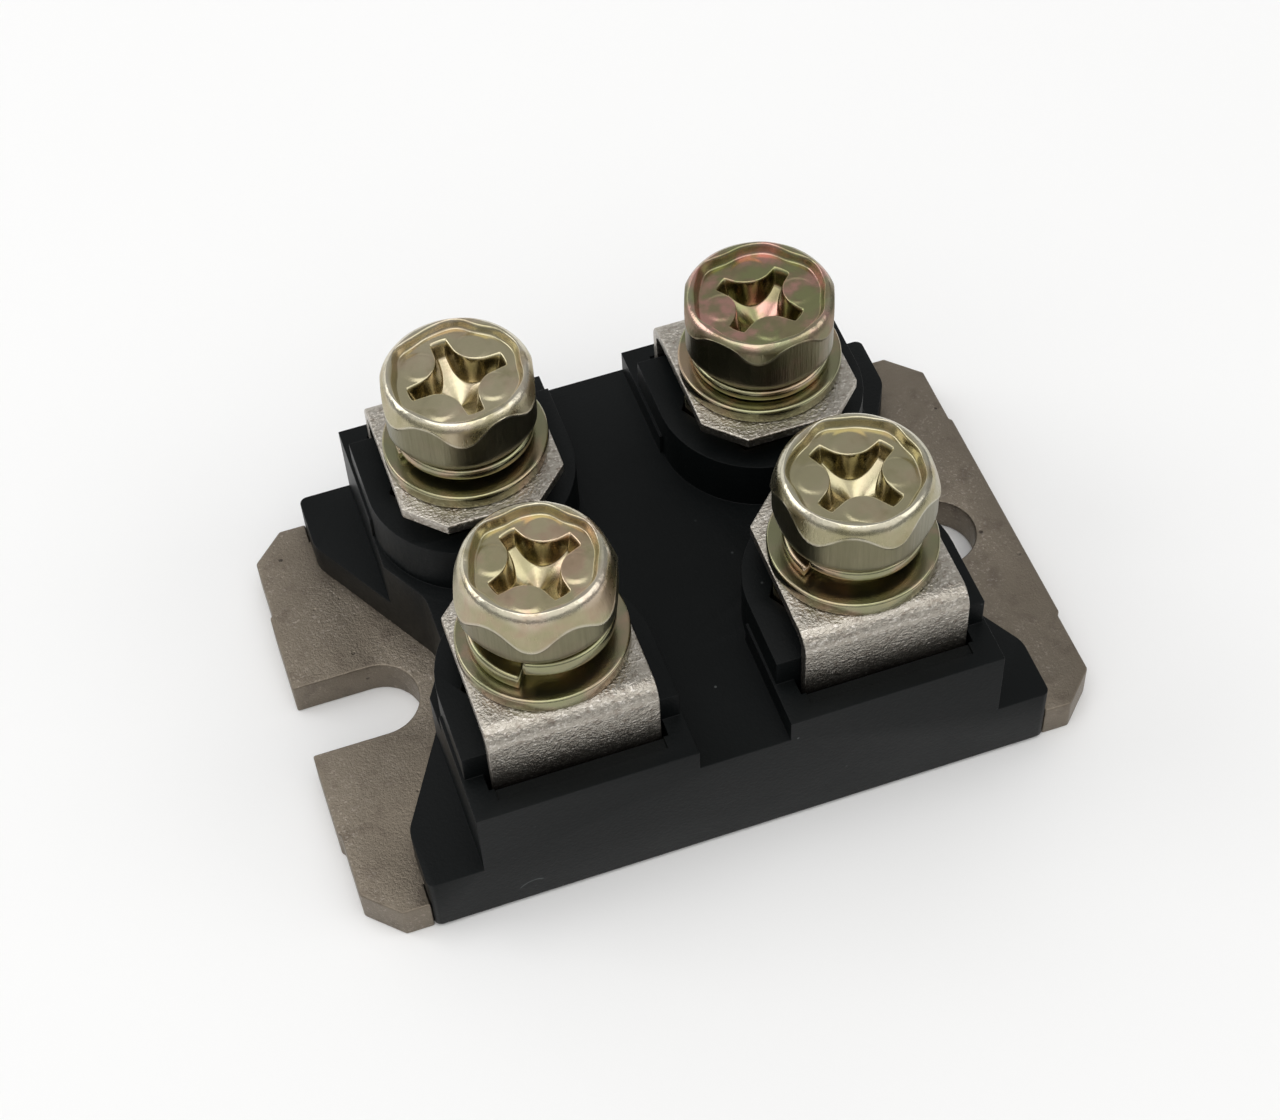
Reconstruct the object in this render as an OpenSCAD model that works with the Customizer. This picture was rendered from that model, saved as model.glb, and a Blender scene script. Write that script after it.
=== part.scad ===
// Diode module with four screw terminals on an insulated base plate.
// The origin is the centre of the plate's underside, X runs along the module, Z is up.

/* [Base plate] */
// Thickness of the plate
plate_thickness = 2; // [1.6:0.1:2.6]
// Chamfer across each corner of the plate
plate_corner = 1.65; // [0.5:0.05:3]
// How far the middle of each end stands out
end_step = 0.15; // [0.05:0.05:0.6]
// Width of the middle part that stands out
end_step_width = 14; // [8:0.5:18]
// Distance between the mounting hole and the round end of the slot
hole_pitch = 30.2; // [29:0.1:32]
// Distance from the centre of the hole to the end of the plate
hole_margin = 3.9; // [3.4:0.1:6]
// Diameter of the mounting hole and width of the slot
hole_d = 4.2; // [3.4:0.1:5]
// How far the plate's sides lie inside the sides of the moulding
plate_inset = 0.2; // [0:0.05:0.5]
// Depth of moulding that wraps each long edge of the plate
plate_wrap = 1.2; // [0.8:0.1:1.5]

/* [Housing] */
// Length of the moulding
housing_length = 31.6; // [30.6:0.1:32.6]
// Width of the moulding
housing_width = 24.8; // [24.4:0.1:26]
// Height of the moulding's lower edge above the resting plane
housing_lift = 0.25; // [0.05:0.05:0.4]
// Top of the low ledges at the four corners
ledge_height = 3.9; // [3:0.1:5]
// Top of the channel between the pedestals
channel_height = 6.9; // [6.4:0.1:7.2]
// Top of the blocks in front of the terminal slots
block_height = 8.2; // [7.4:0.1:9]
// Top of the horseshoe pedestals
pedestal_height = 9.8; // [9:0.1:10.4]
// Width of a horseshoe pedestal
pedestal_width = 10.5; // [10:0.1:11]
// How far a block stands out past its pedestal at either side
block_margin = 0.15; // [0.05:0.05:0.4]
// Length of the moulding at its waist
waist_length = 23.2; // [22.6:0.1:24]
// Width of the flat at the waist
waist_flat = 3.2; // [1:0.1:5]
// Width between the shoulders where the ends slant in
shoulder_width = 18.2; // [14:0.1:20]
// Radius of the moulding's inward corners at the waist
waist_round = 2; // [0.5:0.1:3]
// Radius of the moulding's corners at the shoulders
shoulder_round = 1.6; // [0.5:0.1:3]
// Radius of the moulding's four outer corners
end_round = 0.4; // [0.2:0.1:1]
// Thickness of the end walls round the inner space
end_wall = 1.6; // [1.2:0.1:1.9]
// Thickness of the roof over the inner space
roof = 1.6; // [1.3:0.1:2]

/* [Terminals] */
// Distance between terminal screws along the module
terminal_pitch_x = 15.3; // [14.8:0.1:15.6]
// Distance from the side of the moulding to the axes of the nearest screws
terminal_inset = 6.15; // [6:0.05:6.35]
// Width of a terminal tab
terminal_width = 8.2; // [7.4:0.1:8.4]
// Thickness of the terminal sheet
terminal_thickness = 0.6; // [0.5:0.05:0.9]
// Top of the terminals above the resting plane
terminal_height = 11.8; // [11.4:0.1:12.4]
// Distance from the screw's axis to the inner end of a terminal
terminal_reach = 4.65; // [4.3:0.05:5]
// Chamfer across the corners of a terminal's inner end
terminal_corner = 1.8; // [0.5:0.1:2.4]
// Inner radius of the terminal's bends
bend_radius = 0.4; // [0.3:0.05:0.7]
// Diameter of the screw hole in a terminal
terminal_hole = 4.3; // [4.15:0.05:4.6]
// Width of the narrow leg below the tab
leg_width = 3.7; // [3:0.1:4]
// Length of the foot at the lower end of the leg
foot_length = 2.6; // [2:0.1:3]

/* [Screws, washers and nuts] */
// Thread diameter of the terminal screws
thread_d = 4; // [3.5:0.05:4.05]
// Length of a screw below its head
screw_length = 6; // [5.6:0.1:6.2]
// Width across the flats of a screw head
head_flats = 7.2; // [6.8:0.1:7.3]
// Diameter to which the corners of a screw head are rounded off
head_round_d = 7.8; // [7.4:0.1:8.2]
// Diameter of the round rim at the top of a head
rim_d = 6.2; // [6:0.1:6.6]
// Height of the rounded crown between the rim and the head's corners
crown_height = 1.8; // [1:0.1:2]
// Height of the rounded foot of a head
head_foot = 0.6; // [0.3:0.1:1]
// Height of a screw head
head_height = 3.9; // [3:0.1:4.5]
// Diameter of the dish in the top of a head
dish_d = 5.8; // [5:0.1:5.9]
// Depth of the dish
dish_depth = 0.35; // [0.2:0.05:0.5]
// Length of an arm pair of the cross recess
cross_length = 4.6; // [4:0.1:5]
// Width of an arm of the cross recess
cross_width = 1.15; // [0.8:0.05:1.4]
// Depth of the cross recess below the dish
cross_depth = 1.7; // [1:0.1:2]
// Diameter of the flat washers
flat_washer_d = 8.4; // [7.8:0.1:9]
// Thickness of the flat washers
flat_washer_thickness = 0.8; // [0.5:0.05:1]
// Outer diameter of the spring washers
spring_washer_d = 7.4; // [7:0.1:7.8]
// Bore of both kinds of washer
washer_hole = 4.3; // [4.15:0.05:4.5]
// Standing height of the front left spring washer
spring_front_left = 1.7; // [0.9:0.05:1.9]
// Standing height of the front right spring washer
spring_front_right = 1.2; // [0.9:0.05:1.9]
// Standing height of the back left spring washer
spring_back_left = 1; // [0.9:0.05:1.9]
// Standing height of the back right spring washer
spring_back_right = 0.9; // [0.9:0.05:1.9]
// Width across the flats of a nut
nut_flats = 7; // [6.5:0.1:7.2]
// Thickness of a nut
nut_thickness = 3.2; // [2.4:0.1:3.4]

/* [Circuit] */
// Thickness of the ceramic substrate
ceramic_thickness = 0.63; // [0.38:0.01:1]
// Thickness of the copper pads
pad_thickness = 0.3; // [0.2:0.05:0.5]
// Gap between neighbouring pads
pad_gap = 0.8; // [0.5:0.1:1.2]
// Bare ceramic left round the pads
pad_margin = 0.3; // [0.2:0.05:0.6]
// Width of an anode pad
anode_width = 6.05; // [5:0.05:7]
// Side of a square diode die
die_size = 6.5; // [5:0.1:7]
// Thickness of a die
die_thickness = 0.35; // [0.2:0.05:0.5]
// Distance of a die behind the centre line
die_offset = 2; // [1:0.1:3]
// Width of the clip over a die
clip_width = 4; // [2:0.1:4.6]
// Thickness of the clip
clip_thickness = 0.4; // [0.2:0.05:0.6]
// Length of the clip's foot on its pad
clip_foot = 2.4; // [1.5:0.1:2.8]

/* [Clearances] */
// Gap round a tab in its slot, front and back
slot_gap = 0.15; // [0.1:0.05:0.25]
// Gap beside a tab in its slot
slot_side_gap = 0.25; // [0.1:0.05:0.6]
// Depth of the shallow lead-in in front of a slot
lip_depth = 0.15; // [0.1:0.05:0.4]
// Gap round a nut in its pocket
nut_gap = 0.1; // [0.05:0.05:0.2]
// Gap between a nut's flat and the start of the terminal's bend
bend_gap = 0.05; // [0:0.05:0.2]
// Gap round the thread in its nut
thread_gap = 0.05; // [0.02:0.01:0.1]
// Room below the tip of a screw
tip_room = 0.35; // [0.2:0.05:0.5]
// Gap round the ceramic in the inner space
ceramic_gap = 0.2; // [0.1:0.05:0.4]

/* [Hidden] */

$fn = 64;
// Overshoot of a cut past the face that it opens
cut = 1;

// The four terminals stand at the corners in the order front left, front right, back left, back right
FRONT_LEFT = 0;
FRONT_RIGHT = 1;
BACK_LEFT = 2;
BACK_RIGHT = 3;
spring_heights = [spring_front_left, spring_front_right, spring_back_left, spring_back_right];
// Turn of each screw head about its axis, as the screws happened to stop
head_turns = [9, 37, 18, 9];
// Turn of each cross recess
cross_turns = [28, 26, 20, 32];
// Direction of the split in each spring washer
split_turns = [-122, -152, 60, 120];
// Angle left open by the split
split_angle = 9;

plate_length = hole_pitch + 2 * hole_margin;
plate_width = housing_width - 2 * plate_inset;
core_width = plate_width - 2 * plate_wrap;
terminal_pitch_y = housing_width - 2 * terminal_inset;
block_width = pedestal_width + 2 * block_margin;
upper_length = terminal_pitch_x + block_width;
cavity_length = waist_length - 2 * end_wall;
cavity_top = channel_height - roof;

// Levels of the terminals and what is stacked on and under them
terminal_under = terminal_height - terminal_thickness;
nut_bottom = terminal_under - nut_thickness;
washer_top = terminal_height + flat_washer_thickness;
lowest_tip = washer_top + min(spring_heights) - screw_length;
well_bottom = lowest_tip - tip_room;
nut_corners = nut_flats / cos(30);
head_corners = head_flats / cos(30);

// The tab stands just outside its nut, and its shoulders stand on a seat inside the slot
terminal_drop = nut_flats / 2 + bend_gap + bend_radius + terminal_thickness;
seat_height = cavity_top + roof / 3;
slot_inner = terminal_drop - terminal_thickness - slot_gap;
slot_outer = terminal_drop + slot_gap;
block_front = (housing_width - terminal_pitch_y) / 2;
// Run of the shallow lead-in in front of the slot
lip_run = (block_front - slot_outer) * 0.45;

// The inner space reaches as far out as the slots do
cavity_width = terminal_pitch_y + 2 * slot_outer;

// Levels and edges of the circuit on the plate
ceramic_length = cavity_length - 2 * ceramic_gap;
ceramic_width = cavity_width - 2 * ceramic_gap;
pad_bottom = plate_thickness + ceramic_thickness;
pad_top = pad_bottom + pad_thickness;
die_top = pad_top + die_thickness;
pad_end = ceramic_length / 2 - pad_margin;
pad_side = ceramic_width / 2 - pad_margin;
pad_split = pad_side - anode_width - pad_gap / 2;
pad_length = pad_end - pad_gap / 2;
pad_centre = (pad_end + pad_gap / 2) / 2;

// Slope of the trimmed corners of the nuts
edge_slope = 30;

// Places a shape, drawn with its outer side along +Y, at one of the four terminals
module at_terminal(i) {
    side_x = (i == FRONT_LEFT || i == BACK_LEFT) ? -1 : 1;
    side_y = (i == FRONT_LEFT || i == FRONT_RIGHT) ? -1 : 1;
    translate([side_x * terminal_pitch_x / 2, side_y * terminal_pitch_y / 2, 0])
        mirror([0, side_y < 0 ? 1 : 0, 0])
            children();
}

// Places a shape at the axis of one of the four screws, turned about that axis
module on_screw_axis(i, height, turn = 0) {
    side_x = (i == FRONT_LEFT || i == BACK_LEFT) ? -1 : 1;
    side_y = (i == FRONT_LEFT || i == FRONT_RIGHT) ? -1 : 1;
    translate([side_x * terminal_pitch_x / 2, side_y * terminal_pitch_y / 2, height])
        rotate([0, 0, turn])
            children();
}

// Carries a profile drawn in Y and Z along X, centred on the YZ plane
module along_x(width) {
    translate([-width / 2, 0, 0])
        rotate([90, 0, 90])
            linear_extrude(width)
                children();
}

// Outline of the plate: chamfered corners and a middle that stands out at each end
module plate_outline() {
    end = plate_length / 2;
    shoulder = end - end_step;
    side = plate_width / 2;
    step = end_step_width / 2;
    quarter = [
        [end, step - end_step],
        [shoulder, step],
        [shoulder, side - plate_corner],
        [shoulder - plate_corner, side]
    ];
    polygon(concat(
        quarter,
        [for (k = [3:-1:0]) [-quarter[k][0], quarter[k][1]]],
        [for (k = [0:3]) [-quarter[k][0], -quarter[k][1]]],
        [for (k = [3:-1:0]) [quarter[k][0], -quarter[k][1]]]
    ));
}

module base_plate() {
    color([0.62, 0.6, 0.57]) difference() {
        linear_extrude(plate_thickness) difference() {
            plate_outline();
            for (side = [-1, 1])
                translate([0, side * (core_width + plate_width) / 2])
                    square([housing_length, plate_width], center = true);
        }
        translate([hole_pitch / 2, 0, -cut])
            cylinder(d = hole_d, h = plate_thickness + 2 * cut);
        translate([-hole_pitch / 2, 0, -cut])
            cylinder(d = hole_d, h = plate_thickness + 2 * cut);
        translate([-hole_pitch / 2 - plate_length / 2, -hole_d / 2, -cut])
            cube([plate_length / 2, hole_d, plate_thickness + 2 * cut]);
    }
}

// Points of an arc that rounds the corner at b between the points a and c
function corner_arc(a, b, c, radius, steps = 6) =
    let (
        u = (a - b) / norm(a - b),
        v = (c - b) / norm(c - b),
        half = acos(u * v) / 2,
        middle = b + (u + v) / norm(u + v) * radius / sin(half),
        start = b + u * radius / tan(half) - middle,
        end = b + v * radius / tan(half) - middle,
        from = atan2(start[1], start[0]),
        turn = (atan2(end[1], end[0]) - from + 180 + 360) % 360 - 180
    )
    [for (k = [0:steps]) middle + radius * [cos(from + turn * k / steps), sin(from + turn * k / steps)]];

// Outline of the moulding: wide ends that slant in to a waist beside the hole and the slot
module housing_outline() {
    end = housing_length / 2;
    side = housing_width / 2;
    waist = [waist_length / 2, waist_flat / 2];
    shoulder = [end, shoulder_width / 2];
    corner = [end, side];
    quarter = concat(
        corner_arc([waist[0], -waist[1]], waist, shoulder, waist_round),
        corner_arc(waist, shoulder, corner, shoulder_round),
        corner_arc(shoulder, corner, [0, side], end_round)
    );
    last = len(quarter) - 1;
    polygon(concat(
        quarter,
        [for (k = [last:-1:0]) [-quarter[k][0], quarter[k][1]]],
        [for (k = [0:last]) [-quarter[k][0], -quarter[k][1]]],
        [for (k = [last:-1:0]) [quarter[k][0], -quarter[k][1]]]
    ));
}

// One horseshoe pedestal with its low block at the outer side
module pedestal() {
    foot = ledge_height - cut;
    half = pedestal_width / 2;
    intersection() {
        translate([0, 0, foot])
            cylinder(d = pedestal_width, h = pedestal_height - foot);
        translate([-half, -half, foot])
            cube([pedestal_width, half + slot_inner, pedestal_height - foot]);
    }
    translate([-half, 0, foot])
        cube([pedestal_width, slot_inner, pedestal_height - foot]);
    translate([-block_width / 2, 0, foot])
        cube([block_width, block_front, block_height - foot]);
}

// Slot, lead-in, nut pocket and screw well under one terminal
module terminal_cuts() {
    slot_width = terminal_width + 2 * slot_side_gap;
    leg_slot = leg_width + 2 * slot_gap;
    slot_depth = slot_outer - slot_inner;
    top = pedestal_height + cut;
    translate([-slot_width / 2, slot_inner, seat_height])
        cube([slot_width, slot_depth, top - seat_height]);
    translate([-leg_slot / 2, slot_inner, cavity_top - cut])
        cube([leg_slot, slot_depth, seat_height - cavity_top + 2 * cut]);
    translate([-terminal_width / 2, slot_outer - slot_gap, block_height - lip_depth])
        cube([terminal_width, lip_run + slot_gap, lip_depth + cut]);
    translate([0, 0, nut_bottom])
        cylinder(d = nut_corners + 2 * nut_gap / cos(30), h = top - nut_bottom, $fn = 6);
    translate([0, 0, well_bottom])
        cylinder(d = terminal_hole, h = top - well_bottom);
}

module housing() {
    color([0.06, 0.065, 0.07]) difference() {
        union() {
            translate([0, 0, housing_lift])
                linear_extrude(ledge_height - housing_lift)
                    housing_outline();
            translate([0, 0, housing_lift])
                linear_extrude(channel_height - housing_lift)
                    intersection() {
                        housing_outline();
                        square([upper_length, housing_width], center = true);
                    }
            for (i = [FRONT_LEFT:BACK_RIGHT])
                at_terminal(i) pedestal();
        }
        translate([-housing_length / 2 - cut, -core_width / 2, -cut])
            cube([housing_length + 2 * cut, core_width, plate_thickness + cut]);
        translate([-cavity_length / 2, -cavity_width / 2, plate_thickness - cut])
            cube([cavity_length, cavity_width, cavity_top - plate_thickness + cut]);
        for (i = [FRONT_LEFT:BACK_RIGHT])
            at_terminal(i) terminal_cuts();
    }
}

module ceramic_substrate() {
    color([0.9, 0.9, 0.87])
        translate([-ceramic_length / 2, -ceramic_width / 2, plate_thickness])
            cube([ceramic_length, ceramic_width, ceramic_thickness]);
}

// Copper pad between two distances from the centre line, on the side given by its sign
module copper_pad(side, from, to) {
    color([0.8, 0.5, 0.33])
        translate([side * pad_centre - pad_length / 2, from, pad_bottom])
            cube([pad_length, to - from, pad_thickness]);
}

module cathode_pad(side) {
    copper_pad(side, -pad_split + pad_gap / 2, pad_side);
}

module anode_pad(side) {
    copper_pad(side, -pad_side, -pad_split - pad_gap / 2);
}

module diode_die(side) {
    color([0.45, 0.46, 0.5])
        translate([side * pad_centre - die_size / 2, die_offset - die_size / 2, pad_top])
            cube([die_size, die_size, die_thickness]);
}

// Clip that lies on a die and steps down to the anode pad in front of it
module top_clip(side) {
    clip_top = die_top + clip_thickness;
    heel = -pad_split - pad_gap / 2 - clip_thickness;
    color([0.8, 0.5, 0.33])
        translate([side * pad_centre, 0, 0])
            along_x(clip_width) {
                translate([heel - clip_thickness, die_top])
                    square([die_offset + die_size / 3 - heel + clip_thickness, clip_thickness]);
                translate([heel - clip_thickness, pad_top])
                    square([clip_thickness, clip_top - pad_top]);
                translate([heel - clip_foot, pad_top])
                    square([clip_foot, clip_thickness]);
            }
}

// Quarter ring of sheet metal: the bend between a level stretch and an upright one
module sheet_bend() {
    outer = bend_radius + terminal_thickness;
    intersection() {
        difference() {
            circle(r = outer);
            circle(r = bend_radius);
        }
        square(outer);
    }
}

// Flat pad of a terminal, from its chamfered inner end to the bend
module terminal_pad(bend_y) {
    half = terminal_width / 2;
    difference() {
        polygon([
            [-half, bend_y],
            [-half, terminal_corner - terminal_reach],
            [terminal_corner - half, -terminal_reach],
            [half - terminal_corner, -terminal_reach],
            [half, terminal_corner - terminal_reach],
            [half, bend_y]
        ]);
        circle(d = terminal_hole);
    }
}

// Terminal: a pad bent down into a tab with a narrow leg and a foot
module terminal(i) {
    bend_outer = bend_radius + terminal_thickness;
    bend_centre_y = terminal_drop - bend_outer;
    upper_centre_z = terminal_height - bend_outer;
    lower_centre_z = pad_top + bend_outer;
    color([0.75, 0.75, 0.74]) at_terminal(i) {
        translate([0, 0, terminal_under])
            linear_extrude(terminal_thickness)
                terminal_pad(bend_centre_y);
        along_x(terminal_width) {
            translate([bend_centre_y, upper_centre_z])
                sheet_bend();
            translate([terminal_drop - terminal_thickness, seat_height])
                square([terminal_thickness, upper_centre_z - seat_height]);
        }
        along_x(leg_width) {
            translate([terminal_drop - terminal_thickness, lower_centre_z])
                square([terminal_thickness, seat_height - lower_centre_z]);
            translate([bend_centre_y, lower_centre_z])
                mirror([0, 1])
                    sheet_bend();
            translate([terminal_drop - foot_length, pad_top])
                square([bend_centre_y - terminal_drop + foot_length, terminal_thickness]);
        }
    }
}

// Body of revolution that trims the corners of a nut at its top and bottom
module nut_trim() {
    trim = (nut_corners - nut_flats) / 2 * tan(edge_slope);
    rotate_extrude()
        polygon([
            [0, 0],
            [nut_flats / 2, 0],
            [nut_corners / 2, trim],
            [nut_corners / 2, nut_thickness - trim],
            [nut_flats / 2, nut_thickness],
            [0, nut_thickness]
        ]);
}

// Body of revolution that rounds off a head: a steep crown below its round rim, and a narrower foot
module head_trim() {
    outer = head_round_d / 2;
    rim = rim_d / 2;
    rotate_extrude()
        polygon([
            [0, 0],
            [outer - head_foot * 0.7, 0],
            [outer, head_foot],
            [outer, head_height - crown_height],
            [(rim + outer) / 2, head_height - crown_height * 0.3],
            [rim, head_height],
            [0, head_height]
        ]);
}

module nut(i) {
    color([0.72, 0.71, 0.66])
        on_screw_axis(i, nut_bottom)
            difference() {
                intersection() {
                    cylinder(d = nut_corners, h = nut_thickness, $fn = 6);
                    nut_trim();
                }
                translate([0, 0, -cut])
                    cylinder(d = thread_d + 2 * thread_gap, h = nut_thickness + 2 * cut);
            }
}

module flat_washer(i) {
    color([0.72, 0.69, 0.5])
        on_screw_axis(i, terminal_height)
            difference() {
                cylinder(d = flat_washer_d, h = flat_washer_thickness);
                translate([0, 0, -cut])
                    cylinder(d = washer_hole, h = flat_washer_thickness + 2 * cut);
            }
}

// Split ring, drawn as tall as it stands under its screw
module spring_washer(i) {
    color([0.7, 0.66, 0.45])
        on_screw_axis(i, washer_top, split_turns[i] + split_angle / 2)
            rotate_extrude(angle = 360 - split_angle)
                translate([washer_hole / 2, 0])
                    square([(spring_washer_d - washer_hole) / 2, spring_heights[i]]);
}

// Hexagon head with rounded corners, a dished top and a cross recess, on a plain shank
module screw(i) {
    cross_floor = head_height - dish_depth - cross_depth;
    color([0.75, 0.7, 0.48])
        on_screw_axis(i, washer_top + spring_heights[i], head_turns[i]) {
            difference() {
                intersection() {
                    cylinder(d = head_corners, h = head_height, $fn = 6);
                    head_trim();
                }
                translate([0, 0, head_height - dish_depth])
                    cylinder(d = dish_d, h = dish_depth + cut);
                for (turn = [0, 90])
                    rotate([0, 0, turn + cross_turns[i] - head_turns[i]])
                        translate([-cross_length / 2, -cross_width / 2, cross_floor])
                            cube([cross_length, cross_width, cross_depth + cut]);
            }
            translate([0, 0, -screw_length])
                cylinder(d = thread_d, h = screw_length);
        }
}

base_plate();
housing();
ceramic_substrate();
cathode_pad(-1);  // cathode_pad_left
cathode_pad(1);  // cathode_pad_right
anode_pad(-1);  // anode_pad_left
anode_pad(1);  // anode_pad_right
diode_die(-1);  // diode_die_left
diode_die(1);  // diode_die_right
top_clip(-1);  // top_clip_left
top_clip(1);  // top_clip_right
terminal(FRONT_LEFT);  // terminal_front_left
terminal(FRONT_RIGHT);  // terminal_front_right
terminal(BACK_LEFT);  // terminal_back_left
terminal(BACK_RIGHT);  // terminal_back_right
nut(FRONT_LEFT);  // nut_front_left
nut(FRONT_RIGHT);  // nut_front_right
nut(BACK_LEFT);  // nut_back_left
nut(BACK_RIGHT);  // nut_back_right
flat_washer(FRONT_LEFT);  // flat_washer_front_left
flat_washer(FRONT_RIGHT);  // flat_washer_front_right
flat_washer(BACK_LEFT);  // flat_washer_back_left
flat_washer(BACK_RIGHT);  // flat_washer_back_right
spring_washer(FRONT_LEFT);  // spring_washer_front_left
spring_washer(FRONT_RIGHT);  // spring_washer_front_right
spring_washer(BACK_LEFT);  // spring_washer_back_left
spring_washer(BACK_RIGHT);  // spring_washer_back_right
screw(FRONT_LEFT);  // screw_front_left
screw(FRONT_RIGHT);  // screw_front_right
screw(BACK_LEFT);  // screw_back_left
screw(BACK_RIGHT);  // screw_back_right
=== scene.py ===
"""Looks of the diode module: finishes, turned and pressed hardware, camera and light."""

import math

import bmesh
import bpy
import numpy as np
from mathutils import Matrix, Vector


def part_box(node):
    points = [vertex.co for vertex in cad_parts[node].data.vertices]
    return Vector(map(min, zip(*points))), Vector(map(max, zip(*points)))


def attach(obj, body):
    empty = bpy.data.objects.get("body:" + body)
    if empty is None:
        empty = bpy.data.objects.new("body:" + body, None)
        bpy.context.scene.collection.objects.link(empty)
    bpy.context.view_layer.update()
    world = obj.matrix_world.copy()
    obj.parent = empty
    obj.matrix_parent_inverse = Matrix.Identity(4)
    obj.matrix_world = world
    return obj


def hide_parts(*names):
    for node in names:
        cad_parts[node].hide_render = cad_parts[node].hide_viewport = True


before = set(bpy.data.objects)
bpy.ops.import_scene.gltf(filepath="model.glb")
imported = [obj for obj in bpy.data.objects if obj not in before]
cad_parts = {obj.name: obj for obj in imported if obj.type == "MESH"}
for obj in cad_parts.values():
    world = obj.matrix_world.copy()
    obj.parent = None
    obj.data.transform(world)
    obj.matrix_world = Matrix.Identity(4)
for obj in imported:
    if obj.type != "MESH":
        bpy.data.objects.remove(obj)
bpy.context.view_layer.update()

MM = 0.001
CORNERS = ("front_left", "front_right", "back_left", "back_right")
SIDES = ("left", "right")

# Screw heads, with lengths in millimetres: hexagon, foot, crown, rim and dish
HEAD_FLATS = 7.3
HEAD_HEIGHT = 3.4
HEAD_ROUND_RADIUS = 3.9
HEAD_CORNER_POWER = 60
HEAD_FOOT = 0.9
HEAD_FOOT_INSET = 0.6
HEAD_FOOT_POWER = 1.5
CROWN_ROUND = 0.9
CROWN_REACH = 0.5
CROWN_SLOPE = 3.4
RIM_SAG = 0.09
RIM_SAG_REACH = 0.6
# Width of the rim's band of worn silver, which is partly a painted highlight
RIM_WEAR_HIGHLIGHT = 0.25
DISH_INSET = 0.17
DISH_DEPTH = 0.5
DISH_TILT = 0.15
DISH_WANDER = 0.03
DISH_WALL_OUT = 0.05
DISH_WALL_IN = 0.25
DISH_CORNER_POWER = 7

# Waves of the rim, as count and size, and of the dish's edge, as count and share of the head's own phase
RIM_WAVES = ((2, 1.0), (5, 1.0), (13, 0.35), (19, 0.25))
DISH_WAVES = ((3, 1), (7, -1), (11, 3))
PHASE_PER_TURN = 7

# Cross recess and the petals round it, with lengths in millimetres
CROSS_DEPTH = 2.2
CROSS_RISE = 0.7
CROSS_HALF_WIDTH = 0.56
CROSS_TAPER = 0.08
CROSS_WALL = (-0.07, 0.2)
CROSS_END_LEAN = 0.6
CROSS_END = 0.4
LOBE_ROUND = 1.25
PETAL_PLACE = 1.9
PETAL_OUTER = 1.0
PETAL_INNER = 0.65
PETAL_HEIGHT = 0.045

# Thread, nuts and washers, with lengths in millimetres and the split's angle in degrees
THREAD_RADIUS = 2.0
THREAD_PITCH = 0.7
THREAD_DEPTH = 0.38
THREAD_START = (0.1, 0.7)
THREAD_TIP = 0.5
THREAD_TIP_INSET = 0.5
NUT_FLATS = 7.0
NUT_CORNER_POWER = 44
NUT_THREAD_RADIUS = 2.07
NUT_THREAD_DEPTH = 0.12
NUT_MOUTH_RADIUS = 2.3
NUT_MOUTH_DEPTH = 0.25
NUT_TRIM_INSET = 0.12
NUT_TRIM_SLOPE = 0.5
NUT_TRIM_POWER = 1.2
WASHER_BORE_RADIUS = 2.15
FLAT_WASHER_RADIUS = 4.08
FLAT_WASHER_CORNER = 0.16
SPRING_CORNER = 0.22
SPLIT_ANGLE = 5

# Each stack as it stands in the photograph: turns in degrees, sizes in millimetres
HEAD_TURNS = dict(zip(CORNERS, (9, 37, 18, 9)))
CROSS_TURNS = dict(zip(CORNERS, (17, 32, 6, 40)))
CROSS_REACH = dict(zip(CORNERS, (2.2, 2.35, 2.4, 2.2)))
RIM_RADIUS = dict(zip(CORNERS, (3.1, 3.27, 3.32, 3.4)))
SPLIT_TURNS = dict(zip(CORNERS, (-122, -152, 190, 120)))
SPRING_RADIUS = dict(zip(CORNERS, (3.5, 3.35, 3.45, 3.5)))
SPRING_THICKNESS = dict(zip(CORNERS, (0.85, 0.65, 0.65, 0.65)))
SPRING_HEIGHT = dict(zip(CORNERS, (2.05, 1.6, 1.3, 0.8)))

# Marks that a screw's mesh carries, how strongly each crown is drawn into lines and darkened by painted
# shade, and where on the way down a crown the lines set in, where the worn silver with its painted highlight
# ends and where the lower edge's worn silver with painted highlight begins
MARKS = ("trimmed", "worn_and_highlit", "recess_shade")
CROWN_LINES_AND_SHADE = dict(zip(CORNERS, (0.65, 0.6, 0.55, 0.9)))
CROWN_LINES_SPAN = (0.15, 0.6)
CROWN_WEAR_HIGHLIGHT_SPAN = (0.2, 0.65)
CROWN_EDGE_HIGHLIGHT_SPAN = (0.93, 1)
CROWN_EDGE_HIGHLIGHT = 0.9

# Points of the grids, round the axis and along the profiles
SCREW_COLUMNS = 300
TOP_RINGS = 110
TOP_RING_POWER = 1.3
CROWN_RINGS = 28
SIDE_RINGS = 22
UNDER_RINGS = 6
THREAD_RINGS_PER_TURN = 7
NUT_COLUMNS = 180
NUT_BORE_RINGS = 42
NUT_TRIM_RINGS = 7
WASHER_COLUMNS = 160
SPRING_SECTIONS = 150
SECTION_CORNER_POINTS = 6

# Rounded edges of the solids' copies: widths in millimetres, angles in degrees
HOUSING_EDGE = 0.14
PLATE_EDGE = 0.1
TERMINAL_EDGE = 0.08
EDGE_SEGMENTS = 3
EDGE_ANGLE = 35
FLAT_ANGLE = 1

# Distances in metres below which points of a grid, ends of an edge or corners of a solid are merged
SAME_POINT = 1e-7
NO_LENGTH = 1e-8
SAME_CORNER = 1e-6

# Curved scratch on the moulding's front face, with lengths in millimetres: X and Z of its centre come first
SCRATCH_PLACE = (-10.9, 1.2)
SCRATCH_RADIUS = 0.45
SCRATCH_FLATTENED = 0.7
SCRATCH_LEAN = 0.3
SCRATCH_LINE = (0.02, 0.06)
SCRATCH_FADE = (0.15, 0.3)
SCRATCH_BREAKS = 0.3
FRONT_FACE = (-12.2, -12.3)

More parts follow.
